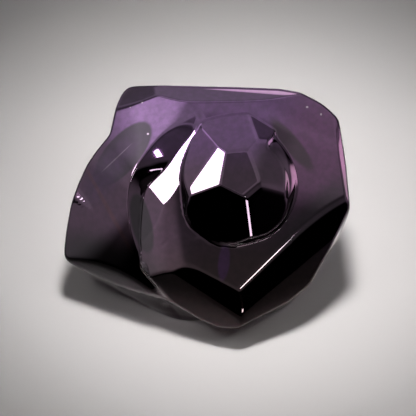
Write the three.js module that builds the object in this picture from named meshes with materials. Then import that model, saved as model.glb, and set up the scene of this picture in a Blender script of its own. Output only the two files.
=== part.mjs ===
// A rainbow obsidian freeform: one lump of volcanic glass, ground and polished by hand.
// A faceted dome stands in a swept bowl, a pointed petal with a V-shaped band lies below it,
// and a wide lobe spreads to the left. The stone rests on the flat spot ground under it.
//
// Millimetres, +Z up, the carved face looks towards -Y and up. The origin is on the table,
// under the middle of the stone's box.
//
// The carved face is a height `w` over a leaning plane. `u` runs to the right in that plane and
// `v` runs up it, both from the dome's top. Angles are in degrees, anticlockwise from +u.
import * as THREE from 'three';

// ---- driving dimensions -------------------------------------------------------------------
const LEAN = 50;               // angle between the carved face and upright
const APEX_HEIGHT = 55;        // the dome's top above the table
const SECTORS = 120;           // divisions around the dome
const DOME_ROWS = 8;           // divisions from the dome's top to its foot
const PLATE_ROWS = 10;         // divisions from the foot to the crest
const RIM_ROWS = 8;            // divisions from the crest to the rim
const FOOT_RADIUS = 20;        // inside the dome's foot, where the dome rows end
const CREST_MIN_RADIUS = 22.5; // the crest rows keep this far out
const CREST_TO_RIM = 3;        // and this far inside the rim

// The stone's outline in the carved plane, corner by corner from the bottom point.
const OUTLINE = [
  [0, -50.7], [18.3, -40.4], [25.2, -34.5], [32, -22.4], [39, -8], [36.6, 6.9], [34.8, 22.8],
  [32, 26], [28.6, 28.6], [21.7, 32.1], [14.8, 33.3], [0, 33.9], [-24.8, 34.5], [-37.6, 34.3],
  [-40, 31.7], [-41.7, 27], [-43, 17.3], [-47.3, 12], [-50.7, 6.9], [-53.8, 0], [-56, -7],
  [-58.7, -16.2], [-60.4, -24.2], [-59.7, -26.3], [-55.5, -28.6], [-43.8, -33.8],
  [-36.9, -36.2], [-24.8, -39.5], [-16.2, -44.5], [-12.8, -46.6], [-6.6, -49.3],
];

// Width of the rounded edge along the outline, by angle.
const EDGE_ROUNDING = [
  [0, 1.6], [90, 1.6], [130, 1.2], [180, 1.6], [205, 1.2], [230, 0.8], [270, 0.6], [300, 0.8],
  [340, 1.2],
];
const EDGE_DROP = 1.4;         // the rounded edge falls this many times its width

// Ground faces. Each one is `height` high at the distance `at` along its azimuth and falls
// outward by `tilt`; `bow` swells it along the fall and `side` across it, `blend` softens its
// edge with the faces before it.
const DOME_FACES = [
  { azimuth: 90, at: 5.5, height: 0, tilt: 1.5, blend: 0.25 },                  // table on top
  { azimuth: 95, at: 11.5, height: -0.1, tilt: 28, side: 0.009, blend: 0.3 },   // slope above the table
  { azimuth: 166, at: 6.3, height: -0.1, tilt: 22.8, blend: 0.2 },              // left
  { azimuth: 160, at: 12.8, height: -2.7, tilt: 30.2, blend: 0.2 },             // left, beyond a slanted edge
  { azimuth: 22, at: 8, height: -0.1, tilt: 24, bow: 0.006, side: 0.004, blend: 0.3 },  // right
  { azimuth: 242, at: 3.1, height: 0, tilt: 26, blend: 0.3 },                   // lower left
  { azimuth: -48, at: 5.6, height: 0, tilt: 25, blend: 0.4 },                   // lower right
];
const PLATE_FACES = [
  { azimuth: 78, at: 23.5, height: -6.5, tilt: 5, bow: 0.004, blend: 3 },
  { azimuth: 0, at: 24.8, height: -7.2, tilt: 3.5, bow: 0.003, blend: 3 },
  { azimuth: 143, at: 38.4, height: -8.6, tilt: 20, bow: 0.004, blend: 3 },
];
const PETAL_FACES = [
  { azimuth: -53.6, at: 28, height: -9.75, tilt: 19.5, bow: 0.008, blend: 0.3 },  // V band, right
  { azimuth: 250, at: 34.2, height: -10.55, tilt: 21, blend: 0.3 },             // V band, left
  { azimuth: 245, at: 36.4, height: -11, tilt: 31, bow: 0.004, blend: 0.4 },    // lower left
  { azimuth: -49.8, at: 35, height: -11.9, tilt: 32, bow: 0.01, blend: 0.5 },   // lower right
  { azimuth: 2, at: 37.5, height: -10.2, tilt: 60, blend: 2 },                  // right bevel
  { azimuth: 57, at: 33, height: -8.4, tilt: 24, blend: 3 },                    // upper right
];
const LOBE_FACES = [
  { azimuth: 78, at: 23.5, height: -6.5, tilt: 5, bow: 0.004, blend: 3 },
  { azimuth: 143, at: 38.4, height: -8.6, tilt: 20, bow: 0.004, blend: 3 },
  { azimuth: 160, at: 43.9, height: -10.7, tilt: 28, blend: 2 },
  { azimuth: 183, at: 53.5, height: -17.2, tilt: 32.5, blend: 1.5 },
  { azimuth: 206.6, at: 53.8, height: -17, tilt: 29.5, blend: 2.5 },
  { azimuth: 233, at: 47.6, height: -16.3, tilt: 26.6, blend: 5 },
  { azimuth: 252.5, at: 35.5, height: -14, tilt: 21.7, blend: 3 },
  { azimuth: 238, at: 47.7, height: -17.3, tilt: 48, blend: 1.5 },              // underside
];
const BACK_FACES = [
  { azimuth: 90, at: 29.6, height: -8.2, tilt: 52, blend: 0.8 },                // top band
  { azimuth: 120.7, at: 40.9, height: -10.4, tilt: 54, blend: 0.8 },            // upper left tab
];

// The dome's foot and the flank above it, which swells over the last `reach` before the foot.
// Its join with the faces of the dome is soft on the left and crisp below.
const DOME_FOOT_HEIGHT = [
  [0, -8], [20, -7.6], [50, -7.2], [90, -7.5], [125, -7], [145, -7.8], [160, -8.4], [180, -8.7],
  [205, -8.8], [230, -9], [280, -9], [320, -8.5],
];
const DOME_FOOT_RADIUS = [
  [0, 21.2], [20, 21], [45, 20.9], [52, 21.5], [58, 24], [64, 27], [72, 30], [108, 30],
  [117, 26.5], [123, 24], [136, 22.2], [150, 21], [165, 20.3], [180, 20], [195, 20.2],
  [214, 21.6], [238, 22.3], [263, 21.3], [283, 20.6], [300, 20.8], [330, 21.1],
];
const DOME_FOOT_FALL = [
  [0, 1.3], [20, 1.2], [60, 1.2], [90, 1], [125, 0.9], [150, 1.4], [190, 1.5], [215, 2.2],
  [240, 2.5], [300, 2.5], [335, 1.8],
];
const DOME_FLANK = { swell: 0.07, reach: 3.5 };
const DOME_FLANK_BLEND = [
  [0, 0.5], [60, 1], [120, 1], [190, 1], [215, 0.2], [325, 0.2],
];

// The bowl's floor is a cone that turns no further than `limit`, with faces ground into it.
const BOWL_FLOOR = { u: 24, v: 2, radius: 44, height: -7.6, tilt: 23.5, limit: 200 };
const BOWL_FACES = [
  { azimuth: 176, at: 25.2, height: -10.6, tilt: 23.7, blend: 0.15 },
  { azimuth: 187.7, at: 26.1, height: -10.3, tilt: 29.9, blend: 0.3 },
];
const BOWL_FRONT = { azimuth: -80, at: 20, height: -9, tilt: 5 };

// The crest is the ridge between the bowl's wall and the outside, by angle about the dome. Below
// the lobe it is the petal's lip, where the petal's face breaks off.
const CREST_RADIUS = [
  [0, 20], [8, 23], [16, 25.1], [26, 25.9], [45, 25.7], [63, 25.5], [76, 24.3], [90, 23.6],
  [104, 24.3], [112, 25.4], [119, 26.6], [126, 27.6], [144, 30.7], [162, 33.5], [177, 36.6],
  [188, 38], [200, 39.3], [213, 41], [219, 42.8], [227, 43.8], [234, 44.9], [240, 46],
  [250, 47.6], [263, 49.8], [270, 51.5], [290, 50], [310, 30], [330, 18], [345, 17],
];
const WALL_SLOPE = [
  [0, 0.15], [20, 0.15], [63, 0.15], [90, 0.15], [112, 0.1], [126, 0.12], [134, 0.15],
  [144, 0.25], [150, 0.3], [161, 0.4], [170, 0.7], [182, 1], [190, 1], [213, 0.8], [227, 0.6],
  [300, 0.6], [340, 0.4],
];
// The lip breaks off steeply over `half` degrees each side of its middle and fades out beyond.
// Between two angles the petal sinks under the lobe.
const LIP = { middle: 246, half: 24, fall: 2.4, fade: 0.03 };
const PETAL_SINK = { start: 118, end: 223, fade: 9, drop: 9 };
const LOBE_SPREAD = { azimuth: 175, half: 55, fade: 40, depth: 60 };

// The sides below the rim, seen from above: rings of the body, then flat ground faces.
const BASE_CENTRE = { x: -4, y: 6 };
const BASE_RADIUS = [
  [0, 30], [45, 32], [90, 27], [135, 34], [180, 33], [225, 28], [270, 20], [315, 25],
];
const UPPER_RING = { share: 0.68, bulge: [[0, 3], [90, 8], [180, 2], [270, -1]], rows: 3 };
const LOWER_RING = { share: 0.25, bulge: [[0, 4], [90, 6], [180, 2], [270, -0.5]], rows: 3 };
const EDGE_STEPS = 2;          // divisions across the rounded rim
const BASE_STEPS = 2;          // divisions from the lower ring to the table
const SIDE_FACES = [           // distance from the base's middle, 30 mm above the table
  { azimuth: 0, distance: 40.6, lean: 17 },
  { azimuth: 45, distance: 37.6, lean: 8 },
  { azimuth: 90, distance: 38, lean: 4 },
  { azimuth: 133, distance: 42, lean: 12 },
  { azimuth: 158, distance: 47.5, lean: 24 },
  { azimuth: 190, distance: 72, lean: 51.5 },
  { azimuth: 225, distance: 57.6, lean: 42.3 },
  { azimuth: 257, distance: 45.6, lean: 33 },
  { azimuth: 292, distance: 46.2, lean: 36 },
  { azimuth: 325, distance: 37.3, lean: 17.4 },
];
const SIDE_FACE_HEIGHT = 30;
const SIDE_BLEND = 2;
const SIDE_FADE = 0.45;        // share of the upper side over which the faces begin

// ---- soft joins and curves ----------------------------------------------------------------
const radians = THREE.MathUtils.degToRad;

function softMin(a, b, blend) {
  const h = Math.max(blend - Math.abs(a - b), 0) / blend;
  return Math.min(a, b) - (h * h * h * blend) / 6;
}

const softMax = (a, b, blend) => -softMin(-a, -b, blend);
const smooth = (t) => THREE.MathUtils.smoothstep(t, 0, 1);
const wrap = (angle) => ((angle % 360) + 360) % 360;

// A smooth closed curve through [angle, value] keys.
function around(keys, angle) {
  const sorted = keys.map(([a, value]) => [wrap(a), value]).sort((p, q) => p[0] - q[0]);
  const count = sorted.length;
  const at = wrap(angle);
  let i = sorted.findLastIndex(([a]) => a <= at);
  if (i < 0) i = -1;
  const key = (n) => {
    const [a, value] = sorted[((n % count) + count) % count];
    return [a + 360 * Math.floor(n / count), value];
  };
  const [before, start, end, after] = [key(i - 1), key(i), key(i + 1), key(i + 2)];
  const span = end[0] - start[0];
  const t = (at - start[0]) / span;
  const slopeIn = (end[1] - before[1]) / (end[0] - before[0]);
  const slopeOut = (after[1] - start[1]) / (after[0] - start[0]);
  return hermite(t, start[1], end[1], slopeIn * span, slopeOut * span);
}

function hermite(t, from, to, slopeFrom, slopeTo) {
  const t2 = t * t;
  const t3 = t2 * t;
  return (2 * t3 - 3 * t2 + 1) * from + (t3 - 2 * t2 + t) * slopeFrom
    + (-2 * t3 + 3 * t2) * to + (t3 - t2) * slopeTo;
}

// ---- the carved face ----------------------------------------------------------------------
function faceHeight(u, v, { azimuth, at, height, tilt, bow = 0, side = 0 }) {
  const a = radians(azimuth);
  const x = u * Math.cos(a) + v * Math.sin(a) - at;
  const y = v * Math.cos(a) - u * Math.sin(a);
  const near = THREE.MathUtils.clamp(x, -8, 8);
  const swell = bow * ((near * near) / 2 + near * (x - near)) + (side * y * y) / 2;
  return height - Math.tan(radians(tilt)) * x - swell;
}

const cutBy = (faces, w, u, v) =>
  faces.reduce((low, face) => softMin(low, faceHeight(u, v, face), face.blend), w);

// The first face, cut by all the others.
const groundBy = ([first, ...others], u, v) => cutBy(others, faceHeight(u, v, first), u, v);

function domeHeight(u, v, r, angle) {
  const inside = around(DOME_FOOT_RADIUS, angle) - r;
  const swell = DOME_FLANK.swell * THREE.MathUtils.clamp(inside, 0, DOME_FLANK.reach) ** 2;
  const flank = around(DOME_FOOT_HEIGHT, angle) + around(DOME_FOOT_FALL, angle) * (inside - swell);
  return softMin(groundBy(DOME_FACES, u, v), flank, around(DOME_FLANK_BLEND, angle));
}

function floorHeight(u, v) {
  const { radius, height, tilt, limit } = BOWL_FLOOR;
  const [du, dv] = [u - BOWL_FLOOR.u, v - BOWL_FLOOR.v];
  const azimuth = wrap(THREE.MathUtils.radToDeg(Math.atan2(dv, du)));
  const turned = radians(THREE.MathUtils.clamp(azimuth - limit, 0, 80));
  const reach = Math.hypot(du, dv) * Math.cos(turned);
  const cone = height - Math.tan(radians(tilt)) * (reach - radius);
  return softMin(cutBy(BOWL_FACES, cone, u, v), faceHeight(u, v, BOWL_FRONT), 7);
}

const petalHeight = (u, v) => (
  cutBy([...PLATE_FACES, ...PETAL_FACES], faceHeight(u, v, BOWL_FRONT), u, v));

function lobeHeight(u, v, angle) {
  const { azimuth, half, fade, depth } = LOBE_SPREAD;
  const apart = Math.abs(wrap(angle - azimuth + 180) - 180);
  const away = THREE.MathUtils.clamp((apart - half) / fade, 0, 1);
  return groundBy(LOBE_FACES, u, v) - depth * away * away;
}

// The petal, broken off at its lip, and the lobe that it overlaps.
function outsideHeight(u, v, angle, beyond, lip) {
  const apart = Math.abs(wrap(angle - LIP.middle + 180) - 180);
  const raised = LIP.fade * Math.max(apart - LIP.half, 0) ** 2;
  const broken = softMin(petalHeight(u, v), lip + raised - LIP.fall * beyond, 0.5);
  const within = Math.min(angle - PETAL_SINK.start, PETAL_SINK.end - angle);
  const petal = broken - PETAL_SINK.drop * smooth(within / PETAL_SINK.fade);
  return softMax(petal, lobeHeight(u, v, angle), 0.5);
}

function carvedHeight(u, v) {
  const r = Math.hypot(u, v);
  const angle = wrap(THREE.MathUtils.radToDeg(Math.atan2(v, u)));
  const crest = around(CREST_RADIUS, angle);
  const [crestU, crestV] = [crest * Math.cos(radians(angle)), crest * Math.sin(radians(angle))];
  const lip = petalHeight(crestU, crestV);
  const crestHeight = outsideHeight(crestU, crestV, angle, 0, lip);
  const beyond = r - crest;
  const bowl = softMax(floorHeight(u, v), crestHeight + around(WALL_SLOPE, angle) * beyond, 0.7);
  const bowled = softMin(outsideHeight(u, v, angle, beyond, lip), bowl, 0.5);
  return cutBy(BACK_FACES, softMax(bowled, domeHeight(u, v, r, angle), 0.8), u, v);
}

// From the carved plane to the upright frame, before the stone is centred.
function upright(u, v, w) {
  const [s, c] = [Math.sin(radians(LEAN)), Math.cos(radians(LEAN))];
  return new THREE.Vector3(u, s * v - c * w, c * v + s * w + APEX_HEIGHT);
}

// ---- rings of points ----------------------------------------------------------------------
// Distance from the dome's axis to the outline along one angle.
function outlineRadius(angle) {
  const [dx, dy] = [Math.cos(radians(angle)), Math.sin(radians(angle))];
  const hits = OUTLINE.map(([px, py], i) => {
    const [qx, qy] = OUTLINE[(i + 1) % OUTLINE.length];
    const [mx, my] = [qx - px, qy - py];
    const cross = dx * my - dy * mx;
    const along = (px * dy - py * dx) / cross;
    return along >= 0 && along <= 1 ? (px * my - py * mx) / cross : 0;
  });
  return Math.max(...hits);
}

// One sector's points from the dome's top to the rim.
function carvedPoints(angle, rim, edge) {
  const [cos, sin] = [Math.cos(radians(angle)), Math.sin(radians(angle))];
  const inner = rim - edge;
  const crest = Math.min(Math.max(around(CREST_RADIUS, angle), CREST_MIN_RADIUS),
    inner - CREST_TO_RIM);
  const radii = [];
  for (let i = 1; i <= DOME_ROWS; i += 1) radii.push((FOOT_RADIUS * i) / DOME_ROWS);
  for (let i = 1; i <= PLATE_ROWS; i += 1) {
    radii.push(THREE.MathUtils.lerp(FOOT_RADIUS, crest, 1 - (1 - i / PLATE_ROWS) ** 1.25));
  }
  for (let i = 1; i <= RIM_ROWS; i += 1) {
    radii.push(THREE.MathUtils.lerp(crest, inner, (i / RIM_ROWS) ** 1.15));
  }
  const points = radii.map((r) => upright(r * cos, r * sin, carvedHeight(r * cos, r * sin)));
  const last = carvedHeight(inner * cos, inner * sin);
  points.push(upright(rim * cos, rim * sin, last - EDGE_DROP * edge));
  return points;
}

// A point of the flat base, and of the rings between the rim and the base.
function basePoint(angle) {
  const r = around(BASE_RADIUS, angle);
  const a = radians(angle);
  return new THREE.Vector3(BASE_CENTRE.x + r * Math.cos(a), BASE_CENTRE.y + r * Math.sin(a), 0);
}

function ringPoint(rim, base, angle, { share, bulge }) {
  const a = radians(angle);
  const out = new THREE.Vector3(Math.cos(a), Math.sin(a), 0);
  return base.clone().lerp(rim, share).addScaledVector(out, around(bulge, angle));
}

// Pulls a point of the sides back to the ground side faces.
function groundSide(point, strength) {
  const [x, y] = [point.x - BASE_CENTRE.x, point.y - BASE_CENTRE.y];
  const reach = Math.hypot(x, y);
  const angle = Math.atan2(y, x);
  const cut = SIDE_FACES.reduce((low, { azimuth, distance, lean }) => {
    const facing = Math.cos(angle - radians(azimuth));
    if (facing < 0.2) return low;
    const face = distance + Math.tan(radians(lean)) * (point.z - SIDE_FACE_HEIGHT);
    return softMin(low, face / facing, SIDE_BLEND);
  }, reach);
  const scale = THREE.MathUtils.lerp(reach, cut, strength) / reach;
  return new THREE.Vector3(BASE_CENTRE.x + x * scale, BASE_CENTRE.y + y * scale, point.z);
}

// One sector's points from the rim down to the base.
function sidePoints(carved, angle) {
  const rim = carved.at(-1);
  const base = basePoint(angle);
  const upper = ringPoint(rim, base, angle, UPPER_RING);
  const lower = ringPoint(rim, base, angle, LOWER_RING);
  const inside = base.clone().lerp(new THREE.Vector3(BASE_CENTRE.x, BASE_CENTRE.y, 0), 0.05);
  const stops = [carved.at(-2), rim, upper, lower, base, inside];
  const curve = new THREE.CatmullRomCurve3(stops, false, 'centripetal');
  const points = [];
  const addSpan = (span, steps) => {
    for (let i = 1; i <= steps; i += 1) {
      const t = (span + i / steps) / (stops.length - 1);
      const depth = span - 1 + i / steps;
      points.push(groundSide(curve.getPoint(t), smooth(Math.min(depth / SIDE_FADE, 1))));
    }
  };
  addSpan(1, UPPER_RING.rows + EDGE_STEPS);
  addSpan(2, LOWER_RING.rows);
  addSpan(3, BASE_STEPS);
  points.at(-1).z = 0;
  return points;
}

// ---- the solid ----------------------------------------------------------------------------
function buildStone() {
  const rings = [];
  for (let sector = 0; sector < SECTORS; sector += 1) {
    const angle = -90 + (360 * sector) / SECTORS;
    const carved = carvedPoints(angle, outlineRadius(angle), around(EDGE_ROUNDING, angle));
    rings.push([...carved, ...sidePoints(carved, angle)]);
  }
  const rows = rings[0].length;
  const top = upright(0, 0, carvedHeight(0, 0));
  const bottom = new THREE.Vector3(BASE_CENTRE.x, BASE_CENTRE.y, 0);
  const points = [...rings.flat(), top, bottom];
  const index = [];
  for (let sector = 0; sector < SECTORS; sector += 1) {
    const here = sector * rows;
    const next = ((sector + 1) % SECTORS) * rows;
    index.push(points.length - 2, here, next);
    for (let row = 0; row < rows - 1; row += 1) {
      index.push(here + row, here + row + 1, next + row + 1);
      index.push(here + row, next + row + 1, next + row);
    }
    index.push(points.length - 1, next + rows - 1, here + rows - 1);
  }
  const geometry = new THREE.BufferGeometry().setFromPoints(points);
  geometry.setIndex(index);
  geometry.computeBoundingBox();
  const middle = geometry.boundingBox.getCenter(new THREE.Vector3());
  geometry.translate(-middle.x, -middle.y, 0);
  geometry.computeVertexNormals();
  return geometry;
}

// Near-black glass with a violet sheen, polished all over.
const obsidian = new THREE.MeshStandardMaterial({
  color: new THREE.Color(0x4a3a4c),
  roughness: 0.08,
  metalness: 0,
});

const stone = new THREE.Mesh(buildStone(), obsidian);
stone.name = 'stone';

const freeform = new THREE.Group();
freeform.add(stone);

export default freeform;
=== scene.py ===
"""Rainbow obsidian freeform: one lump of volcanic glass, ground and polished by hand.

A faceted dome stands in a swept bowl, a pointed petal with a V-shaped band lies below it and a
wide lobe spreads to the left. The carved face is a height `w` over a leaning plane: `u` runs to
the right in that plane and `v` up it, both from the dome's top, in millimetres. Angles are in
degrees, anticlockwise from +u.
"""
import functools
import math
from collections import namedtuple

import bpy
import numpy as np
from mathutils import Matrix, Vector


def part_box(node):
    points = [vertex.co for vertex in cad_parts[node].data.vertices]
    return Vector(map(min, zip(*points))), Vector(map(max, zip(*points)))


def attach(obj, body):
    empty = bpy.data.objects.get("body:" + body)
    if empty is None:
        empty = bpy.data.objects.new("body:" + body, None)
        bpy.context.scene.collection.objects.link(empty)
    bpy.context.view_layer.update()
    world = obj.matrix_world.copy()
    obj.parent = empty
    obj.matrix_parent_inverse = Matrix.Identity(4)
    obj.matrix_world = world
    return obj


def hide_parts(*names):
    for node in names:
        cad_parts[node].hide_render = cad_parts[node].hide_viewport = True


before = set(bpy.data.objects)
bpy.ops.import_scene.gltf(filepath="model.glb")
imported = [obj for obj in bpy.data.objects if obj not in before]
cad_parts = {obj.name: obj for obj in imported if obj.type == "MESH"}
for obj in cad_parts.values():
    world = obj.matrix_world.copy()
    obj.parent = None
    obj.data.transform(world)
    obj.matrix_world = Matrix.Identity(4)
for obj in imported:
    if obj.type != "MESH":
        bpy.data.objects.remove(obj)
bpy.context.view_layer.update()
STONE_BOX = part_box("stone")
MM = 0.001

bl_info = {
    "name": "Rainbow obsidian freeform",
    "version": (1, 0, 0),
    "blender": (4, 5, 0),
    "location": "3D View > Sidebar > Obsidian",
    "description": "Grinds, polishes and lights a freeform of rainbow obsidian",
    "category": "Object",
}

# ---- the stone's outline and divisions -------------------------------------------------------
SECTORS = 360            # divisions around the dome
DOME_ROWS = 44           # divisions from the dome's top to its foot
PLATE_ROWS = 46          # divisions from the foot to the crest
RIM_ROWS = 50            # divisions from the crest to the rim
EDGE_ROWS = 6            # divisions across the rounded rim
SIDE_ROWS = (14, 16, 8)  # divisions of the sides, down to the base
BASE_ROWS = 4            # divisions across the base

CREST_MIN_RADIUS = 22.5  # the crest rows keep this far out
CREST_TO_RIM = 3.0       # and this far inside the rim
CREST_CROWDING = dict(plate=1.25, rim=1.15)  # above 1, rows crowd towards the crest
EDGE_DROP = 1.4          # the rounded edge falls this many times its width
OUTLINE_SMOOTHING = 3    # passes that soften the outline's corners

# Curves around the dome are lists of (angle, value).

# The outline in the carved plane, corner by corner from the bottom point.
OUTLINE = [
    (0, -49.7), (18.3, -40.2), (25.2, -34.5), (32, -22.4), (39, -8), (37.6, 6.9), (35.1, 22.8),
    (32, 26), (28.6, 28.6), (21.7, 32.1), (14.8, 33.3), (0, 33.9), (-24.8, 34.5), (-37.6, 34.3),
    (-40, 31.7), (-41.9, 27), (-43.9, 17.6), (-48.4, 12.2), (-52.1, 6.9), (-55.3, 0),
    (-57.7, -7), (-59.4, -16.2), (-60.25, -24.2), (-59.6, -26.3), (-55.5, -28.6), (-43.8, -33.8),
    (-36.9, -36.2), (-24.8, -39.5), (-16.2, -44.5), (-12.8, -46.6), (-6.6, -49.3),
]
# Width of the rounded edge along the outline, by angle.
EDGE_ROUNDING = [
    (0, 0.6), (30, 0.6), (50, 0.8), (90, 0.8), (130, 0.8), (150, 0.5), (180, 0.5), (205, 0.6),
    (230, 0.8), (270, 0.5), (300, 0.4), (335, 0.5),
]

# ---- ground faces ----------------------------------------------------------------------------
# Each face is `height` high at the distance `at` along its azimuth and falls outward by `tilt`.
# `bow` swells it along the fall and `side` across it, `blend` softens its edge with the faces
# before it.
Face = namedtuple("Face", "azimuth at height tilt bow side blend", defaults=(0.0, 0.0, 0.5))
BOW_REACH = 8.0          # a face bows this far to each side of `at` and runs straight beyond

DOME_FACES = [
    Face(90, 5.5, 0.7, 1.5, blend=0.25),                         # table on top
    Face(95, 11.5, 0.6, 30.0, side=0.009, blend=0.3),            # slope above the table
    Face(166, 6.3, 0.6, 22.8, blend=0.2),                        # left
    Face(160, 12.8, -2.0, 30.2, blend=0.2),                      # left, beyond a slanted edge
    Face(22, 8.0, 0.6, 24.0, bow=0.006, side=0.004, blend=0.3),  # right
    Face(58, 17.5, -2.2, 41.0, blend=0.6),                       # upper right, by the foot
    Face(242, 3.1, 0.7, 25.2, blend=0.3),                        # lower left
    Face(-48, 5.6, 0.7, 25.0, blend=1.3),                        # lower right
]
ABOVE_DOME = Face(78, 23.5, -6.5, 5.0, bow=0.004, blend=3.0)
TOWARDS_TAB = Face(143, 38.4, -9.1, 20.0, bow=0.004, blend=3.0)
PLATE_FACES = [
    ABOVE_DOME,
    Face(0, 24.8, -7.2, 3.5, bow=0.003, blend=3.0),  # right of the dome
    TOWARDS_TAB,
]
PETAL_FACES = [
    Face(-53.6, 28.0, -9.2, 19.5, bow=0.004, blend=0.5),    # V band, right
    Face(250, 34.2, -9.85, 21.0, blend=0.12),               # V band, left
    Face(245, 36.4, -10.3, 31.0, bow=0.004, blend=0.4),     # lower left
    Face(-52.2, 34.1, -11.15, 31.5, bow=0.006, blend=0.4),  # lower right
    Face(7.8, 36.1, -8.0, 46.0, blend=0.5),                 # right bevel
    Face(57, 33.0, -8.4, 24.0, blend=3.0),                  # upper right
]
LOBE_FACES = [
    ABOVE_DOME,
    TOWARDS_TAB,
    Face(160, 43.9, -12.1, 28.5, blend=3.0),    # by the notch under the tab
    Face(183, 53.5, -18.6, 32.5, blend=2.0),    # upper rim
    Face(206.6, 53.8, -17.3, 29.5, blend=2.5),  # middle
    Face(233, 47.6, -16.3, 26.6, blend=5.0),    # lower rim
    Face(252.5, 35.5, -13.2, 21.7, blend=3.0),  # beside the petal
    Face(238, 47.7, -17.3, 48.0, blend=1.5),    # underside
]
BACK_FACES = [
    Face(90, 29.6, -8.2, 52.0, blend=0.8),      # top band
    Face(120.7, 40.9, -10.4, 54.0, blend=0.8),  # upper left tab
    Face(88.5, 32.3, -11.6, 62.0, blend=0.3),   # strip along the top
]

# The dome's foot: how high it lies, how far out, and how steeply the flank comes down to it.
# Above the table the foot runs out into the plate.
DOME_FOOT_HEIGHT = [
    (0, -7.8), (20, -7.4), (45, -6.9), (60, -6.5), (90, -6.9), (105, -6.5), (125, -6.3),
    (145, -7.3), (160, -7.5), (180, -7.6), (205, -8.2), (230, -8.8), (280, -8.7), (320, -8.3),
]
DOME_FOOT_RADIUS = [
    (0, 21.2), (20, 21), (45, 20.9), (52, 21.5), (58, 24), (64, 27), (72, 30), (108, 30),
    (117, 26.5), (123, 24), (136, 22.2), (150, 21), (165, 20.3), (180, 20), (195, 20.2),
    (214, 21.6), (238, 22.3), (263, 21.3), (283, 20.6), (300, 20.8), (330, 21.1),
]
DOME_FOOT_FALL = [
    (0, 1.3), (20, 1.2), (60, 1.2), (90, 1.0), (115, 1.1), (125, 1.4), (150, 1.7), (190, 1.8),
    (215, 2.2), (240, 2.5), (300, 2.5), (335, 1.8),
]
# The flank swells over the last `reach` before the foot. Its join with the faces of the dome
# is soft on the left and crisp below.
DOME_FLANK = dict(swell=0.07, reach=3.5)
DOME_FLANK_BLEND = [(0, 0.5), (60, 1.0), (120, 1.0), (190, 1.0), (215, 0.2), (325, 0.2)]
# The bowl's floor is a cone that turns no further than `limit`, with a front and two faces
# ground into it.
BOWL_FLOOR = dict(u=24.0, v=2.0, radius=44.0, height=-5.5, tilt=23.5, limit=200.0)
BOWL_FACES = [
    Face(168, 19.3, -6.7, 23.7, blend=0.15),   # beside the dome
    Face(181.6, 25.4, -8.3, 29.3, blend=0.3),  # outside that, by the wall
]
BOWL_FRONT = Face(-80, 20.0, -8.3, 5.0, blend=5.0)

# The crest is the ridge between the bowl's wall and the outside, by angle about the dome. Below
# the lobe it is the petal's lip, where the petal's face breaks off.
CREST_RADIUS = [
    (0, 20), (8, 23), (16, 25.1), (26, 25.9), (45, 25.7), (63, 25.5), (76, 24.3), (90, 23.6),
    (104, 24.3), (112, 25.4), (119, 26.6), (126, 27.6), (144, 30.7), (162, 33.5), (177, 36.6),
    (188, 38), (200, 39.3), (213, 41), (219, 42.8), (227, 43.8), (234, 44.9), (240, 46),
    (250, 47.6), (263, 49.8), (270, 51.5), (290, 50), (310, 30), (330, 18), (345, 17),
]
# How steeply the bowl's wall climbs to the crest.
WALL_SLOPE = [
    (0, 0.15), (20, 0.15), (63, 0.15), (90, 0.08), (112, 0.03), (126, 0.04), (134, 0.08),
    (142, 0.12), (150, 0.155), (156, 0.175), (161, 0.195), (166, 0.225), (170, 0.26),
    (176, 0.36), (182, 0.52), (190, 0.66), (213, 0.65), (227, 0.6), (300, 0.6), (340, 0.4),
]
# The lip breaks off steeply over `half` degrees each side of its middle and fades out beyond.
LIP = dict(middle=246.0, half=24.0, fall=2.4, fade=0.03)
# From `start` to `end` the petal sinks by `drop` under the lobe.
PETAL_SINK = dict(start=118.0, end=222.0, fade=9.0, drop=9.0)
# The lobe reaches over `half` degrees each side of its azimuth and sinks away beyond.
LOBE_SPREAD = dict(azimuth=175.0, half=55.0, fade=40.0, depth=60.0)
# How softly the parts of the carved face meet.
JOINS = dict(lip=1.0, lobe=0.5, wall=0.3, crest=0.5, dome=0.35)

# ---- the sides below the rim, seen from above ------------------------------------------------
BASE_CENTRE = (-4.0, 6.0)
BASE_RADIUS = [
    (0, 30), (45, 32), (90, 27), (135, 34), (180, 33), (225, 28), (270, 20), (315, 25),
]
# Two rings between base and rim, `share` of the way up and swollen by `bulge`.
UPPER_RING = dict(share=0.68, bulge=[(0, 3), (90, 7.6), (180, 2), (270, -1)])
LOWER_RING = dict(share=0.25, bulge=[(0, 4), (90, 6), (180, 2), (270, -0.5)])
BASE_CURL = 0.05         # share by which the sides' curve turns in under the base
BASE_SPREAD = dict(first=0.02, rest=0.9)  # where the base's rows lie, as shares inward
SIDE_FACES = [  # azimuth, distance from the base's middle at SIDE_FACE_HEIGHT, lean outward
    (0, 40.6, 17), (45, 37.6, 8), (90, 38, 4), (133, 42, 12), (158, 47.5, 24), (190, 72, 51.5),
    (225, 57.6, 42.3), (257, 45.6, 33), (292, 46.2, 36), (325, 37.3, 17.4),
]
SIDE_FACE_HEIGHT = 30.0
SIDE_BLEND = 2.0
SIDE_FADE = 0.45         # share of the upper side over which the faces begin
SIDE_FACING = 0.2        # a side face cuts only what turns at least this much towards it
UNCUT = 1e3              # farther out than any point of the stone

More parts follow.
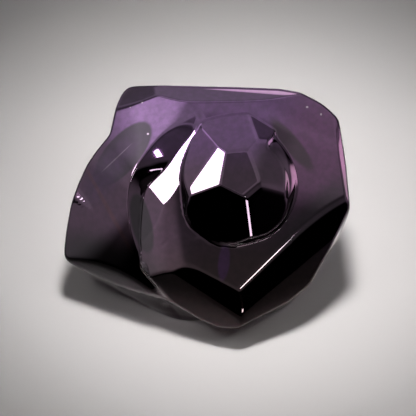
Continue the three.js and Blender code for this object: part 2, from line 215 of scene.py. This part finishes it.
# ---- zones, each an ellipsoid in the carved plane's frame: patterns inside the glass, painted shade and painted reflections ---
ZONES = [
    # name, centre (u, v, w), radii, turn, softness, colour, strength
    ("violet flow, upper plate", (-5, 24, -8), (45, 16, 20), 0, 0.45, "#4A2B58", 0.8),
    ("magenta flow, right", (30, 8, -8), (16, 26, 20), 0, 0.5, "#472244", 0.8),
    ("lavender flow, lobe", (-31, 22, -9), (17, 9, 14), 0, 0.6, "#523B5C", 0.85),
    # Painted reflection: brown instead of violet on the petal's downturned lower faces, as where
    # their polish mirrors the floor.
    ("painted reflection tint, petal", (4, -38, -14), (36, 18, 30), 0, 0.45, "#3B2A2B", 0.9),
    ("brown flow, right of the dome", (19, 13.8, -7), (11, 2.7, 6), -51, 0.2, "#201019", 0.8),
    ("brown flow, dome", (13.1, 6.9, -2), (7, 8, 5), 0, 0.35, "#281826", 0.6),
    # Painted shade: near-black on the downturned faces at the lower right, where the polish
    # mirrors the dark room.
    ("painted shade, lower right", (27, -10.5, -9), (18, 5.5, 12), 43, 0.6, "#0E090D", 0.75),
    # Painted shade: near-black on the lobe's downturned lower part, where the polish mirrors the
    # dark room instead of the violet sheen.
    ("painted shade, lobe bottom", (-47, -26, -17), (22, 8, 16), -18, 0.6, "#0A0609", 0.95),
    # Painted reflection: a dark oval with a lighter middle stands in for a dark thing mirrored in
    # the lobe's polish.
    ("painted dark reflection, lobe", (-39.8, 10.5, -10), (14.3, 6.0, 14), 48, 0.06, "#0E0A10", 0.93),
    ("lighter middle of the painted reflection, lobe", (-45, 5.0, -13), (12.5, 5.2, 14), 52, 0.6, "#33203A", 0.85),
    # Painted reflection: a dark oval on the bowl's wall stands in for a dark thing mirrored there.
    ("painted dark reflection, wall", (-33.0, -13.0, -13), (11.0, 3.6, 8), -76, 0.12, "#0C080D", 0.9),
    ("violet streak, bowl", (-4.5, -26.5, -10), (6.2, 2.0, 6), 84, 0.2, "#5A3568", 0.7),
    ("red-brown seam, lobe", (-43, -11, -13), (24, 0.7, 12), -61, 0.5, "#4A2A2A", 0.4),
    ("dust", (24.2, 26.9, -8), (0.5, 0.4, 3), 0, 0.3, "#9A8F98", 0.9),
    ("dust", (29.0, 24.4, -8), (0.4, 0.5, 3), 0, 0.3, "#9A8F98", 0.9),
    ("dust", (-32.8, 28.6, -10), (0.4, 0.4, 3), 0, 0.3, "#9A8F98", 0.8),
    ("dust", (-36.9, 26.9, -10), (0.35, 0.35, 3), 0, 0.3, "#9A8F98", 0.8),
    ("dust", (-30.7, 17.6, -9), (0.4, 0.35, 3), 0, 0.3, "#9A8F98", 0.8),
    ("scratch, lobe", (-42.5, 8.5, -11), (8.0, 0.22, 4), 43, 0.3, "#9A8F98", 0.2),
]

CLOUD_SIZE = 2.0         # clouds of inclusions, in millimetres
CLOUD_DETAIL = 3.0
OBSIDIAN_IOR = 1.49      # natural glass, 1.48 to 1.51

# ---- the studio, in metres: azimuth 0 is the viewer's side, + to the right -------------------
# Light of the walls by the sine of the elevation, 0 at the horizon and 1 overhead.
WALL_LIGHT = [
    (0.0, 0.0), (0.29, 0.0), (0.36, 0.32), (0.55, 0.30), (0.64, 0.18), (0.685, 0.25),
    (0.725, 0.90), (0.80, 1.05), (0.87, 1.15), (0.95, 0.90), (1.0, 0.90),
]
WALL_TINT = (1.0, 0.95, 1.0)
BACKDROP = (0.30, 0.29, 0.285, 1.0)  # the walls as the camera sees them beyond the paper
# Shades and glows on the walls: azimuth, elevation, the angle about it within which they are
# full, the angle where they end, and the amount.
WALL_SHADES = [
    (0, 52.5, 2.5, 6, 0.55),  # the dim spot that the dome's table mirrors
]
WALL_GLOWS = [
    (-78, 58, 10, 24, (1.6, 1.35, 1.65)),   # upper left
    (-75, 22, 15, 36, (0.75, 0.68, 0.75)),  # left, low
    (-36, 24, 6, 21, (0.5, 0.42, 0.46)),    # front left
    (72, 14, 14, 41, (0.5, 0.46, 0.5)),     # right, low
    (180, 30, 20, 45, (0.45, 0.42, 0.45)),  # behind
    (180, 6, 7, 15, (2.2, 1.55, 1.95)),     # behind, low
    (97, 4, 5, 13, (3.6, 2.7, 3.1)),        # right, level
]
# Soft boxes: name, azimuth, elevation, distance, width and height, radiance.
SOFT_BOXES = [
    ("window_box", -65.584, 39.158, 0.9, (0.17, 0.17), 24),  # white on the dome and the bowl
    ("strip_box", 13.6, 7.0, 1.5, (0.32, 0.10), 14),         # the line along the V
    ("glint_box", 13.8, 28.0, 1.5, (0.05, 0.12), 34),        # the line between the lower facets
]
SOFT_BOX_AIM = (0.0, 0.0, 0.05)
# Spots over the table: name, place from the point they aim at, share of the power.
TABLE_SPOTS = [
    ("table_lamp", (0.0, 0.0, 0.60), 0.86),
    ("table_lamp_left", (-0.28, -0.18, 0.52), 0.06),
    ("table_lamp_right", (0.28, -0.18, 0.52), 0.08),
]
TABLE_AIM = (0.012, 0.02, 0.0)
SPOT_CONE = 26.5         # degrees
SPOT_RADIUS = 0.05       # a larger lamp would soften the shadows
CEILING = dict(size=1.2, height=1.0, power=1.1)
PAPER_SIZE = 6.0
SENSOR_WIDTH = 36.0      # millimetres


# ---- soft joins and curves -------------------------------------------------------------------
def soft_min(a, b, blend):
    """The lower of two heights, rounded where they meet."""
    h = np.maximum(blend - np.abs(a - b), 0.0) / blend
    return np.minimum(a, b) - h ** 3 * blend / 6.0


def soft_max(a, b, blend):
    """The higher of two heights, rounded where they meet."""
    return -soft_min(-a, -b, blend)


def smooth(t):
    """0 to 1 with a level start and end."""
    t = np.clip(t, 0.0, 1.0)
    return t * t * (3.0 - 2.0 * t)


def hermite(t, start, end, slope_start, slope_end):
    """A cubic from start to end with the given slopes there."""
    t2, t3 = t * t, t * t * t
    return ((2 * t3 - 3 * t2 + 1) * start + (t3 - 2 * t2 + t) * slope_start
            + (3 * t2 - 2 * t3) * end + (t3 - t2) * slope_end)


def around(keys, angle):
    """A smooth closed curve through (angle, value) keys."""
    keys = sorted((a % 360.0, value) for a, value in keys)
    angles = np.array([a for a, _ in keys])
    values = np.array([value for _, value in keys], float)
    angles = np.concatenate([angles[-2:] - 360.0, angles, angles[:2] + 360.0])
    values = np.concatenate([values[-2:], values, values[:2]])
    angle = np.asarray(angle, float) % 360.0
    i = np.clip(np.searchsorted(angles, angle, side="right") - 1, 1, len(angles) - 3)
    span = angles[i + 1] - angles[i]
    slope_start = (values[i + 1] - values[i - 1]) / (angles[i + 1] - angles[i - 1])
    slope_end = (values[i + 2] - values[i]) / (angles[i + 2] - angles[i])
    t = (angle - angles[i]) / span
    return hermite(t, values[i], values[i + 1], slope_start * span, slope_end * span)


# ---- the carved face -------------------------------------------------------------------------
def face_height(u, v, face):
    """Height of a ground face, with its swell."""
    a = math.radians(face.azimuth)
    x = u * math.cos(a) + v * math.sin(a) - face.at
    y = v * math.cos(a) - u * math.sin(a)
    near = np.clip(x, -BOW_REACH, BOW_REACH)
    swell = face.bow * (near * near / 2 + near * (x - near)) + face.side * y * y / 2
    return face.height - math.tan(math.radians(face.tilt)) * x - swell


def cut_by(faces, w, u, v):
    """Grinds the heights `w` down to the faces, one after the other."""
    for face in faces:
        w = soft_min(w, face_height(u, v, face), face.blend)
    return w


def dome_height(u, v, r, angle):
    """The dome's faces over its rounded flank."""
    inside = around(DOME_FOOT_RADIUS, angle) - r
    swell = DOME_FLANK["swell"] * np.clip(inside, 0, DOME_FLANK["reach"]) ** 2
    flank = around(DOME_FOOT_HEIGHT, angle) + around(DOME_FOOT_FALL, angle) * (inside - swell)
    top = cut_by(DOME_FACES[1:], face_height(u, v, DOME_FACES[0]), u, v)
    return soft_min(top, flank, around(DOME_FLANK_BLEND, angle))


def floor_height(u, v):
    """The bowl's floor."""
    du, dv = u - BOWL_FLOOR["u"], v - BOWL_FLOOR["v"]
    turned = np.radians(np.clip(np.degrees(np.arctan2(dv, du)) % 360 - BOWL_FLOOR["limit"], 0, 80))
    reach = np.hypot(du, dv) * np.cos(turned)
    fall = math.tan(math.radians(BOWL_FLOOR["tilt"]))
    cone = BOWL_FLOOR["height"] - fall * (reach - BOWL_FLOOR["radius"])
    return cut_by([BOWL_FRONT] + BOWL_FACES, cone, u, v)


def petal_height(u, v):
    """The plate and the petal that runs on from it."""
    return cut_by(PLATE_FACES + PETAL_FACES, face_height(u, v, BOWL_FRONT), u, v)


def lobe_height(u, v, angle):
    """The lobe on the left."""
    apart = np.abs((angle - LOBE_SPREAD["azimuth"] + 180.0) % 360.0 - 180.0)
    away = np.clip((apart - LOBE_SPREAD["half"]) / LOBE_SPREAD["fade"], 0.0, 1.0)
    lobe = cut_by(LOBE_FACES[1:], face_height(u, v, LOBE_FACES[0]), u, v)
    return lobe - LOBE_SPREAD["depth"] * away * away


def outside_height(u, v, angle, beyond, lip):
    """The petal, broken off at its lip, and the lobe that it overlaps."""
    apart = np.abs((angle - LIP["middle"] + 180.0) % 360.0 - 180.0)
    raised = LIP["fade"] * np.maximum(apart - LIP["half"], 0.0) ** 2
    petal = soft_min(petal_height(u, v), lip + raised - LIP["fall"] * beyond, JOINS["lip"])
    within = np.minimum(angle - PETAL_SINK["start"], PETAL_SINK["end"] - angle)
    petal = petal - PETAL_SINK["drop"] * smooth(within / PETAL_SINK["fade"])
    return soft_max(petal, lobe_height(u, v, angle), JOINS["lobe"])


def carved_height(u, v):
    """The whole carved face."""
    r = np.hypot(u, v)
    angle = np.degrees(np.arctan2(v, u)) % 360.0
    crest = around(CREST_RADIUS, angle)
    crest_u, crest_v = crest * np.cos(np.radians(angle)), crest * np.sin(np.radians(angle))
    lip = petal_height(crest_u, crest_v)
    crest_height = outside_height(crest_u, crest_v, angle, 0.0, lip)
    beyond = r - crest
    wall = crest_height + around(WALL_SLOPE, angle) * beyond
    bowl = soft_max(floor_height(u, v), wall, JOINS["wall"])
    w = soft_min(outside_height(u, v, angle, beyond, lip), bowl, JOINS["crest"])
    w = soft_max(w, dome_height(u, v, r, angle), JOINS["dome"])
    return cut_by(BACK_FACES, w, u, v)


# ---- rings of points -------------------------------------------------------------------------
def outline_radius(angles):
    """Distance from the dome's axis to the outline along each angle."""
    corners = np.array(OUTLINE, float)
    edges = np.roll(corners, -1, axis=0) - corners
    radii = []
    for a in np.radians(angles):
        dx, dy = math.cos(a), math.sin(a)
        cross = dx * edges[:, 1] - dy * edges[:, 0]
        along = (corners[:, 0] * dy - corners[:, 1] * dx) / cross
        reach = (corners[:, 0] * edges[:, 1] - corners[:, 1] * edges[:, 0]) / cross
        radii.append(reach[(along >= 0.0) & (along <= 1.0)].max())
    radii = np.array(radii)
    for _ in range(OUTLINE_SMOOTHING):
        radii = (np.roll(radii, 1) + 2 * radii + np.roll(radii, -1)) / 4
    return radii


def upright(u, v, w, lean, apex):
    """From the leaning plane to x, y and z."""
    s, c = math.sin(lean), math.cos(lean)
    return np.stack([u, s * v - c * w, c * v + s * w + apex], -1)


def base_ring(angles):
    """The edge of the flat spot that the stone rests on."""
    r = around(BASE_RADIUS, angles)
    a = np.radians(angles)
    x, y = BASE_CENTRE[0] + r * np.cos(a), BASE_CENTRE[1] + r * np.sin(a)
    return np.stack([x, y, np.zeros_like(r)], -1)


def ground_sides(points, strength):
    """Pulls points of the sides back to the flat side faces."""
    x, y, z = points[..., 0] - BASE_CENTRE[0], points[..., 1] - BASE_CENTRE[1], points[..., 2]
    reach = np.hypot(x, y)
    angle = np.arctan2(y, x)
    cut = reach
    for azimuth, distance, lean in SIDE_FACES:
        facing = np.cos(angle - math.radians(azimuth))
        face = distance + math.tan(math.radians(lean)) * (z - SIDE_FACE_HEIGHT)
        limit = np.where(facing > SIDE_FACING, face / np.maximum(facing, SIDE_FACING), UNCUT)
        cut = soft_min(cut, limit, SIDE_BLEND)
    scale = (reach * (1 - strength) + cut * strength) / np.maximum(reach, 1e-6)
    return np.stack([BASE_CENTRE[0] + x * scale, BASE_CENTRE[1] + y * scale, z], -1)


def curve_rows(stops, span, steps):
    """Rows on a centripetal curve through `stops`, from stop `span` to the next one."""
    p0, p1, p2, p3 = stops[span - 1:span + 3]
    gap = [np.linalg.norm(b - a, axis=-1, keepdims=True) ** 0.5
           for a, b in ((p0, p1), (p1, p2), (p2, p3))]
    gap = [np.maximum(g, 1e-4) for g in gap]  # stops that meet must not divide by zero
    leave = (p2 - p1) + gap[1] * ((p1 - p0) / gap[0] - (p2 - p0) / (gap[0] + gap[1]))
    arrive = (p2 - p1) + gap[1] * ((p3 - p2) / gap[2] - (p3 - p1) / (gap[1] + gap[2]))
    return [hermite(i / steps, p1, p2, leave, arrive) for i in range(1, steps + 1)]


@functools.lru_cache(maxsize=1)
def stone_rows(lean, apex, foot):
    """All rows of the stone from the dome's top to the base, in millimetres."""
    angles = 360.0 * np.arange(SECTORS) / SECTORS
    cos, sin = np.cos(np.radians(angles)), np.sin(np.radians(angles))
    rim, edge = outline_radius(angles), around(EDGE_ROUNDING, angles)
    inner = rim - edge
    crest = np.minimum(np.maximum(around(CREST_RADIUS, angles), CREST_MIN_RADIUS),
                       inner - CREST_TO_RIM)
    radii = [np.full(SECTORS, foot * i / DOME_ROWS) for i in range(1, DOME_ROWS + 1)]
    for i in range(1, PLATE_ROWS + 1):
        t = 1 - (1 - i / PLATE_ROWS) ** CREST_CROWDING["plate"]
        radii.append(foot * (1 - t) + crest * t)
    for i in range(1, RIM_ROWS + 1):
        t = (i / RIM_ROWS) ** CREST_CROWDING["rim"]
        radii.append(crest * (1 - t) + inner * t)
    radii = np.array(radii)
    u, v = radii * cos, radii * sin
    w = carved_height(u, v)
    carved = upright(u, v, w, lean, apex)
    edge_ring = upright(rim * cos, rim * sin, w[-1] - EDGE_DROP * edge, lean, apex)
    base = base_ring(angles)
    centre = np.array([*BASE_CENTRE, 0.0])
    out = np.stack([cos, sin, np.zeros_like(cos)], -1)
    rings = [base + (edge_ring - base) * ring["share"]
             + out * around(ring["bulge"], angles)[:, None]
             for ring in (UPPER_RING, LOWER_RING)]
    stops = [carved[-3], carved[-1], edge_ring, *rings, base, base + (centre - base) * BASE_CURL]
    rows = curve_rows(stops, 1, EDGE_ROWS)
    for span, steps in zip((2, 3, 4), SIDE_ROWS):
        for i, row in enumerate(curve_rows(stops, span, steps), 1):
            depth = span - 2 + i / steps
            rows.append(ground_sides(row, smooth(depth / SIDE_FADE)))
    flat = rows[-1]
    flat[:, 2] = 0.0
    for i in range(BASE_ROWS):
        inward = BASE_SPREAD["first"] + BASE_SPREAD["rest"] * i / BASE_ROWS
        rows.append(flat + (centre - flat) * inward)
    middle = np.zeros(1)
    top = upright(middle, middle, carved_height(middle, middle), lean, apex)[0]
    return top, np.concatenate([carved, np.array(rows)]), centre


# ---- helpers for scenes, materials and lights ------------------------------------------------
def linear(hex_colour):
    """sRGB hex to linear red, green, blue and alpha."""
    channels = [int(hex_colour[i:i + 2], 16) / 255 for i in (1, 3, 5)]
    return [c / 12.92 if c <= 0.04045 else ((c + 0.055) / 1.055) ** 2.4 for c in channels] + [1.0]


def add_node(tree, kind, inputs=None, **settings):
    """Adds a node; an input given as a socket is linked, any other is set."""
    node = tree.nodes.new(kind)
    for name, value in settings.items():
        setattr(node, name, value)
    for name, value in (inputs or {}).items():
        if isinstance(value, bpy.types.NodeSocket):
            tree.links.new(value, node.inputs[name])
        else:
            node.inputs[name].default_value = value
    return node


def direction(azimuth, elevation):
    """A unit vector; azimuth 0 is towards the viewer's side, + to the right."""
    a, e = math.radians(azimuth), math.radians(elevation)
    return Vector((math.sin(a) * math.cos(e), -math.cos(a) * math.cos(e), math.sin(e)))


def smooth_range(tree, value, low, high, to_low=0.0, to_high=1.0):
    """A value's soft passage from one range to another."""
    ramp = add_node(tree, "ShaderNodeMapRange", {
        "Value": value, "From Min": low, "From Max": high, "To Min": to_low, "To Max": to_high,
    }, interpolation_type="SMOOTHSTEP")
    return ramp.outputs["Result"]


def mix_colour(tree, factor, a, b):
    """Colour `a`, turning to `b` as the factor grows."""
    return add_node(tree, "ShaderNodeMix", {0: factor, 6: a, 7: b}, data_type="RGBA").outputs[2]


# ---- materials -------------------------------------------------------------------------------
def zone_weight(tree, place, centre, radii, turn, softness, strength):
    """`strength` inside an ellipsoid of the carved plane's frame, 0 outside."""
    inside = add_node(tree, "ShaderNodeMapping", {
        "Vector": place, "Location": centre, "Rotation": (0, 0, math.radians(turn)),
        "Scale": radii,
    }, vector_type="TEXTURE")
    length = add_node(tree, "ShaderNodeVectorMath", {0: inside.outputs[0]}, operation="LENGTH")
    return smooth_range(tree, length.outputs["Value"], 1 + softness, 1 - softness, 0.0, strength)


def obsidian_material(finish, shift, sizes):
    """Rainbow obsidian: natural glass, ground flat by flat and polished with a fine paste.

    Layers of fine crystals under its surface mirror the light in violet, magenta and brown, so
    the base is a metal with a little blur. The clear polished glass over them, the coat, gives
    the sharp white reflections, and where nothing bright is mirrored the stone reads black. Some
    zones of the base colour are painted light: near-black shade and a brown tint on faces that
    turn down, and dark ovals for dark things mirrored in the lobe and the bowl's wall.
    """
    material = bpy.data.materials.new("rainbow_obsidian_polished")
    material.use_nodes = True
    tree = material.node_tree
    tree.nodes.clear()
    where = add_node(tree, "ShaderNodeTexCoord")
    turn = Matrix.Rotation(sizes.lean - math.pi / 2, 4, "X")
    start = turn @ (-(Vector((0, 0, sizes.apex_height)) + shift) / MM)
    place = add_node(tree, "ShaderNodeMapping", {
        "Vector": where.outputs["Object"], "Scale": (1 / MM, 1 / MM, 1 / MM),
        "Rotation": (sizes.lean - math.pi / 2, 0, 0), "Location": start,
    }, vector_type="POINT").outputs[0]
    colour = finish.body[:] + (1.0,)
    # Each zone mixes in its colour: flows in the glass, and also painted shade and painted dark
    # reflections.
    for _, *extent, softness, tint, strength in ZONES:
        weight = zone_weight(tree, place, *extent, softness, strength)
        colour = mix_colour(tree, weight, colour, linear(tint))
    # Inclusions are finer than a hair, so only the clouds that they gather in are drawn.
    clouds = add_node(tree, "ShaderNodeTexNoise", {
        "Vector": place, "Scale": 1 / CLOUD_SIZE, "Detail": CLOUD_DETAIL,
    })
    light = smooth_range(tree, clouds.outputs["Fac"], 0.3, 0.7, 1 - finish.mottle,
                         1 + finish.mottle)
    colour = add_node(tree, "ShaderNodeVectorMath", {0: colour, "Scale": light},
                      operation="SCALE").outputs[0]
    shader = add_node(tree, "ShaderNodeBsdfPrincipled", {
        "Base Color": colour, "Metallic": 1.0, "Roughness": finish.sheen_roughness,
        "Coat Weight": 1.0, "Coat Roughness": finish.polish_roughness,
        "Coat IOR": OBSIDIAN_IOR,
    })
    add_node(tree, "ShaderNodeOutputMaterial", {"Surface": shader.outputs[0]})
    return material


def paper_material(stage):
    """Seamless background paper: uncoated, so it is matt and shows no reflection."""
    material = bpy.data.materials.new("seamless_paper")
    material.use_nodes = True
    shader = material.node_tree.nodes["Principled BSDF"]
    shader.inputs["Base Color"].default_value = stage.floor_colour[:] + (1.0,)
    shader.inputs["Roughness"].default_value = 0.9
    shader.inputs["Specular IOR Level"].default_value = 0.0
    return material


# ---- the studio ------------------------------------------------------------------------------
def studio_world():
    """Soft walls of light around the table, seen in the polish and lighting nothing else."""
    world = bpy.data.worlds.new("studio")
    bpy.context.scene.world = world
    world.use_nodes = True
    tree = world.node_tree
    tree.nodes.clear()
    where = add_node(tree, "ShaderNodeTexCoord")
    way = add_node(tree, "ShaderNodeVectorMath", {0: where.outputs["Generated"]},
                   operation="NORMALIZE").outputs[0]
    parts = add_node(tree, "ShaderNodeSeparateXYZ", {0: way})
    ramp = add_node(tree, "ShaderNodeValToRGB", {0: parts.outputs["Z"]})
    for i, (height, level) in enumerate(WALL_LIGHT):
        stop = ramp.color_ramp.elements[i] if i < 2 else ramp.color_ramp.elements.new(height)
        stop.position = height
        stop.color = (*(level * tint for tint in WALL_TINT), 1.0)
    colour = ramp.outputs[0]

    def near(azimuth, elevation, inner, outer):
        """1 within the angle `inner` of a direction, 0 beyond `outer`."""
        towards = tuple(direction(azimuth, elevation))
        dot = add_node(tree, "ShaderNodeVectorMath", {0: way, 1: towards},
                       operation="DOT_PRODUCT")
        return smooth_range(tree, dot.outputs["Value"], math.cos(math.radians(outer)),
                            math.cos(math.radians(inner)))

    for *spot, amount in WALL_SHADES:
        shade = add_node(tree, "ShaderNodeMath", {0: near(*spot), 1: -amount, 2: 1.0},
                         operation="MULTIPLY_ADD")
        colour = add_node(tree, "ShaderNodeVectorMath", {0: colour, "Scale": shade.outputs[0]},
                          operation="SCALE").outputs[0]
    for *spot, glow in WALL_GLOWS:
        part = add_node(tree, "ShaderNodeVectorMath", {0: glow, "Scale": near(*spot)},
                        operation="SCALE")
        colour = add_node(tree, "ShaderNodeVectorMath", {0: colour, 1: part.outputs[0]},
                          operation="ADD").outputs[0]
    ray = add_node(tree, "ShaderNodeLightPath")
    colour = mix_colour(tree, ray.outputs["Is Camera Ray"], colour, BACKDROP)
    background = add_node(tree, "ShaderNodeBackground", {"Color": colour})
    add_node(tree, "ShaderNodeOutputWorld", {"Surface": background.outputs[0]})
    world.cycles_visibility.diffuse = False


def hang(name, light, place, aim):
    """Hangs a light at a place, turned towards `aim`, and returns its object."""
    lamp = bpy.data.objects.new(name, light)
    bpy.context.scene.collection.objects.link(lamp)
    lamp.location = place
    lamp.rotation_mode = "QUATERNION"
    lamp.rotation_quaternion = (aim - place).to_track_quat("-Z", "Y")
    return lamp


def soft_box(name, azimuth, elevation, distance, size, radiance):
    """A rectangular soft box, seen only in the polish."""
    light = bpy.data.lights.new(name, "AREA")
    light.shape = "RECTANGLE"
    light.size, light.size_y = size
    light.energy = radiance * math.pi * size[0] * size[1]
    aim = Vector(SOFT_BOX_AIM)
    box = hang(name, light, aim + direction(azimuth, elevation) * distance, aim)
    box.visible_diffuse = False
    box.visible_camera = False


def table_lamps(power):
    """Three spots and a ceiling, which light the paper and don't show in the polish."""
    aim = Vector(TABLE_AIM)
    for name, offset, share in TABLE_SPOTS:
        light = bpy.data.lights.new(name, "SPOT")
        light.energy = power * share
        light.spot_size = math.radians(SPOT_CONE)
        light.spot_blend = 1.0
        light.shadow_soft_size = SPOT_RADIUS
        hang(name, light, aim + Vector(offset), aim).visible_glossy = False
    sky = bpy.data.lights.new("ceiling", "AREA")
    sky.size = CEILING["size"]
    sky.energy = CEILING["power"]
    ceiling = hang("ceiling", sky, Vector((0, 0, CEILING["height"])), Vector((0, 0, 0)))
    ceiling.visible_glossy = False
    ceiling.visible_camera = False


def place_camera(stage, sizes, shift):
    """Looks square at the carved face from `stage.distance` away."""
    lens = bpy.data.cameras.new("camera")
    camera = bpy.data.objects.new("camera", lens)
    bpy.context.scene.collection.objects.link(camera)
    bpy.context.scene.camera = camera
    back = Vector((0, -math.cos(sizes.lean), math.sin(sizes.lean)))
    up = Vector((0, math.sin(sizes.lean), math.cos(sizes.lean)))
    apex = Vector((0, 0, sizes.apex_height)) + shift
    aim = (apex + Vector((stage.aim_right, 0, 0)) + up * stage.aim_up
           - back * stage.aim_depth)
    camera.location = aim + back * stage.distance
    camera.rotation_mode = "QUATERNION"
    camera.rotation_quaternion = (-back).to_track_quat("-Z", "Y")
    lens.sensor_width = SENSOR_WIDTH
    lens.lens = SENSOR_WIDTH * stage.distance / stage.view_width
    lens.clip_end = 20


# ---- settings --------------------------------------------------------------------------------
class StoneSizes(bpy.types.PropertyGroup):
    """How the stone stands"""
    lean: bpy.props.FloatProperty(
        name="Lean", description="Angle between the carved face and upright",
        default=math.radians(50), subtype="ANGLE", unit="ROTATION")
    apex_height: bpy.props.FloatProperty(
        name="Apex height", description="Height of the dome's top over the table",
        default=0.05495, unit="LENGTH")
    foot_radius: bpy.props.FloatProperty(
        name="Foot radius", description="Radius where the dome's rows of points end",
        default=0.020, unit="LENGTH")


class StoneFinish(bpy.types.PropertyGroup):
    """The glass and its polish"""
    body: bpy.props.FloatVectorProperty(
        name="Body", description="Colour that the crystal layers mirror where no flow shows",
        default=linear("#3B2638")[:3], size=3, subtype="COLOR", min=0, max=1)
    mottle: bpy.props.FloatProperty(
        name="Mottle", description="How strongly the clouds of inclusions vary the colour",
        default=0.15, min=0, max=1, subtype="FACTOR")
    sheen_roughness: bpy.props.FloatProperty(
        name="Sheen roughness", description="Blur of the crystal layers' reflection",
        default=0.05, min=0, max=1, subtype="FACTOR")
    polish_roughness: bpy.props.FloatProperty(
        name="Polish roughness", description="Blur of the polished surface's reflection",
        default=0.01, min=0, max=1, subtype="FACTOR")


class StageSettings(bpy.types.PropertyGroup):
    """The paper, the lamps and the camera"""
    floor_colour: bpy.props.FloatVectorProperty(
        name="Floor", description="Colour of the paper under the stone",
        default=linear("#E7E2E1")[:3], size=3, subtype="COLOR", min=0, max=1)
    lamp_power: bpy.props.FloatProperty(
        name="Table lamps", description="Power of the spots over the table, all together",
        default=15.5, unit="POWER")
    distance: bpy.props.FloatProperty(
        name="Camera distance", description="From the camera to the stone",
        default=1.5, unit="LENGTH")
    view_width: bpy.props.FloatProperty(
        name="View width", description="Width that the camera takes in at the stone",
        default=0.14352, unit="LENGTH")
    aim_right: bpy.props.FloatProperty(
        name="Aim right", description="From the dome's top to the view's middle, to the right",
        default=-0.010005, unit="LENGTH")
    aim_up: bpy.props.FloatProperty(
        name="Aim up", description="From the dome's top to the view's middle, up the face",
        default=-0.007935, unit="LENGTH")
    aim_depth: bpy.props.FloatProperty(
        name="Aim depth", description="From the dome's top to the view's middle, into the stone",
        default=0.010, unit="LENGTH")


def settings():
    """The sizes, the finish and the stage, as they are set in the scene."""
    scene = bpy.context.scene
    return scene.stone_sizes, scene.stone_finish, scene.stage_settings


def rows_of(sizes):
    """The stone's rows for the sizes that are set."""
    return stone_rows(sizes.lean, sizes.apex_height / MM, sizes.foot_radius / MM)


def stone_shift(sizes):
    """From the carved rows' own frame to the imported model's, where the stone stands."""
    _, rows, _ = rows_of(sizes)
    low, high = rows.reshape(-1, 3).min(0), rows.reshape(-1, 3).max(0)
    middle = (Vector(STONE_BOX[0]) + Vector(STONE_BOX[1])) / 2
    return Vector((middle.x - (low[0] + high[0]) / 2 * MM,
                   middle.y - (low[1] + high[1]) / 2 * MM, 0.0))


# ---- operators -------------------------------------------------------------------------------
class OBJECT_OT_obsidian_stone(bpy.types.Operator):
    """Grind the stone from a round blank and polish it"""
    bl_idname = "object.obsidian_stone"
    bl_label = "Obsidian stone"

    def execute(self, context):
        sizes, finish, _ = settings()
        top, rows, bottom = rows_of(sizes)
        shift = stone_shift(sizes)
        bpy.ops.object.select_all(action="DESELECT")
        rings = len(rows) + 1
        bpy.ops.mesh.primitive_uv_sphere_add(segments=SECTORS, ring_count=rings, radius=1.0)
        stone = context.object
        stone.name = stone.data.name = "polished_stone"
        blank = np.empty(len(stone.data.vertices) * 3)
        stone.data.vertices.foreach_get("co", blank)
        x, y, z = blank.reshape(-1, 3).T
        ring = np.rint(np.arccos(np.clip(z, -1, 1)) / math.pi * rings).astype(int)
        sector = np.rint(np.arctan2(y, x) / (2 * math.pi) * SECTORS).astype(int)
        ground = rows[np.clip(ring - 1, 0, len(rows) - 1), sector % SECTORS]
        ground[ring == 0] = top
        ground[ring == rings] = bottom
        ground = ground * MM + np.array(shift)
        stone.data.vertices.foreach_set("co", ground.ravel())
        stone.data.update()
        bpy.ops.object.shade_smooth()
        stone.data.materials.append(obsidian_material(finish, shift, sizes))
        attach(stone, "root")
        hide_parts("stone")
        return {"FINISHED"}


class SCENE_OT_obsidian_stage(bpy.types.Operator):
    """Lay the paper, set up the lights and place the camera"""
    bl_idname = "scene.obsidian_stage"
    bl_label = "Obsidian stage"

    def execute(self, context):
        sizes, _, stage = settings()
        bpy.ops.object.select_all(action="DESELECT")
        bpy.ops.mesh.primitive_plane_add(size=PAPER_SIZE)
        floor = context.object
        floor.name = floor.data.name = "paper_floor"
        floor.data.materials.append(paper_material(stage))
        studio_world()
        for box in SOFT_BOXES:
            soft_box(*box)
        table_lamps(stage.lamp_power)
        place_camera(stage, sizes, stone_shift(sizes))
        context.scene.view_settings.view_transform = "Standard"
        return {"FINISHED"}


class VIEW3D_PT_obsidian(bpy.types.Panel):
    """The settings and the two steps"""
    bl_label = "Obsidian freeform"
    bl_space_type = "VIEW_3D"
    bl_region_type = "UI"
    bl_category = "Obsidian"

    def draw(self, context):
        layout = self.layout
        for group in settings():
            for name in group.__annotations__:
                layout.prop(group, name)
        layout.operator(OBJECT_OT_obsidian_stone.bl_idname)
        layout.operator(SCENE_OT_obsidian_stage.bl_idname)


CLASSES = (StoneSizes, StoneFinish, StageSettings, OBJECT_OT_obsidian_stone,
           SCENE_OT_obsidian_stage, VIEW3D_PT_obsidian)


def register():
    for cls in CLASSES:
        bpy.utils.register_class(cls)
    bpy.types.Scene.stone_sizes = bpy.props.PointerProperty(type=StoneSizes)
    bpy.types.Scene.stone_finish = bpy.props.PointerProperty(type=StoneFinish)
    bpy.types.Scene.stage_settings = bpy.props.PointerProperty(type=StageSettings)


def unregister():
    del bpy.types.Scene.stage_settings
    del bpy.types.Scene.stone_finish
    del bpy.types.Scene.stone_sizes
    for cls in reversed(CLASSES):
        bpy.utils.unregister_class(cls)


def main():
    register()
    bpy.ops.object.obsidian_stone()
    bpy.ops.scene.obsidian_stage()


if __name__ == "__main__":
    main()
